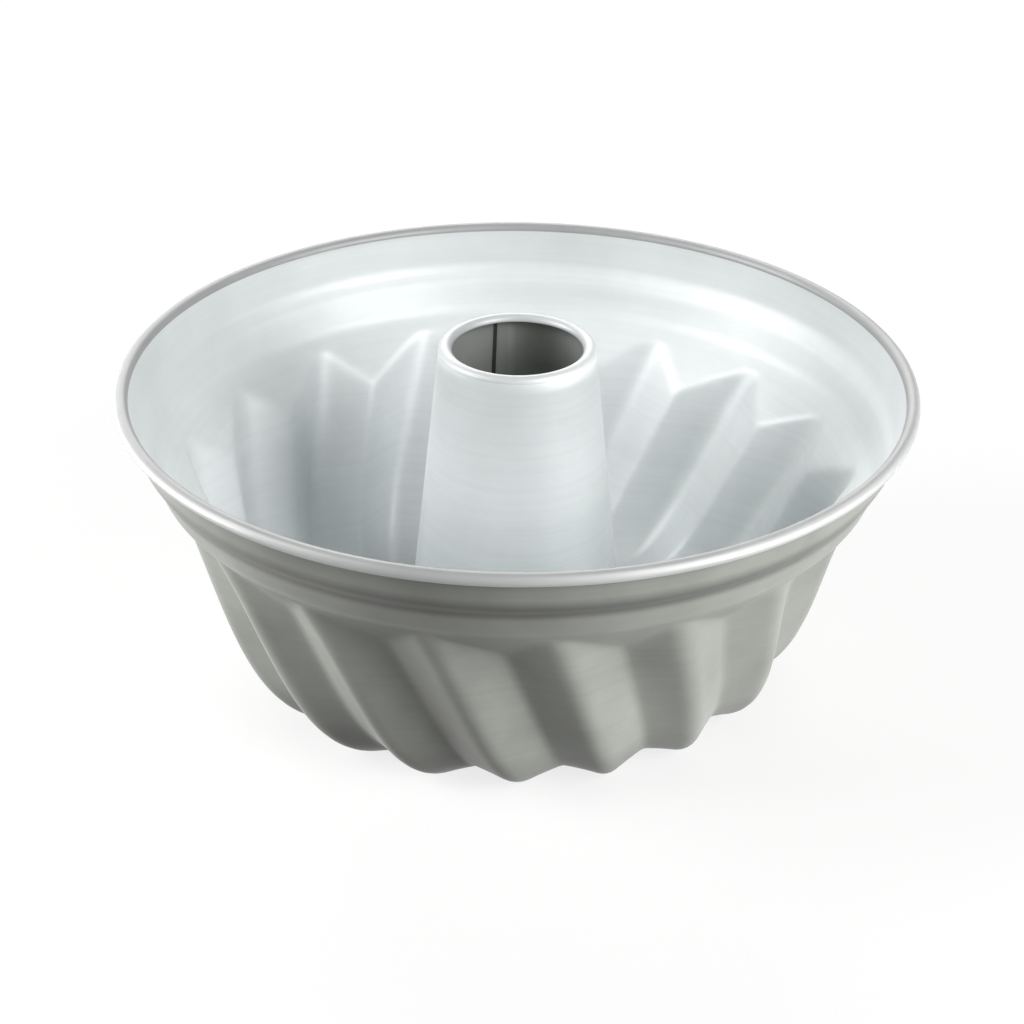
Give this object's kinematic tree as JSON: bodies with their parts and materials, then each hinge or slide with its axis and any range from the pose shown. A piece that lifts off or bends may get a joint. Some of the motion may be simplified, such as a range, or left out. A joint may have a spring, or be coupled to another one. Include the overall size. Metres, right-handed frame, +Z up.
{
  "type": "kugelhopf mould",
  "caption": "Round ring mould of tinned sheet steel with a rolled rim, swirling V-shaped flutes and an open conical chimney, for baking ring cakes.",
  "frame": {"origin": "centre of the mould on the plane that the lobes of the base rest on", "axes": "+Z up along the chimney; the long seam of the chimney is on the +Y side"},
  "size_m": [0.2198, 0.2198, 0.1011],
  "materials": {
    "body_sheet": "satin tinned sheet steel",
    "wire": "drawn steel wire",
    "chimney_sheet": "satin tinned sheet steel"
  },
  "bodies": {
    "root": {"body_shell": "body_sheet", "rim_wire": "wire", "chimney_tube": "chimney_sheet"}
  },
  "joints": []
}
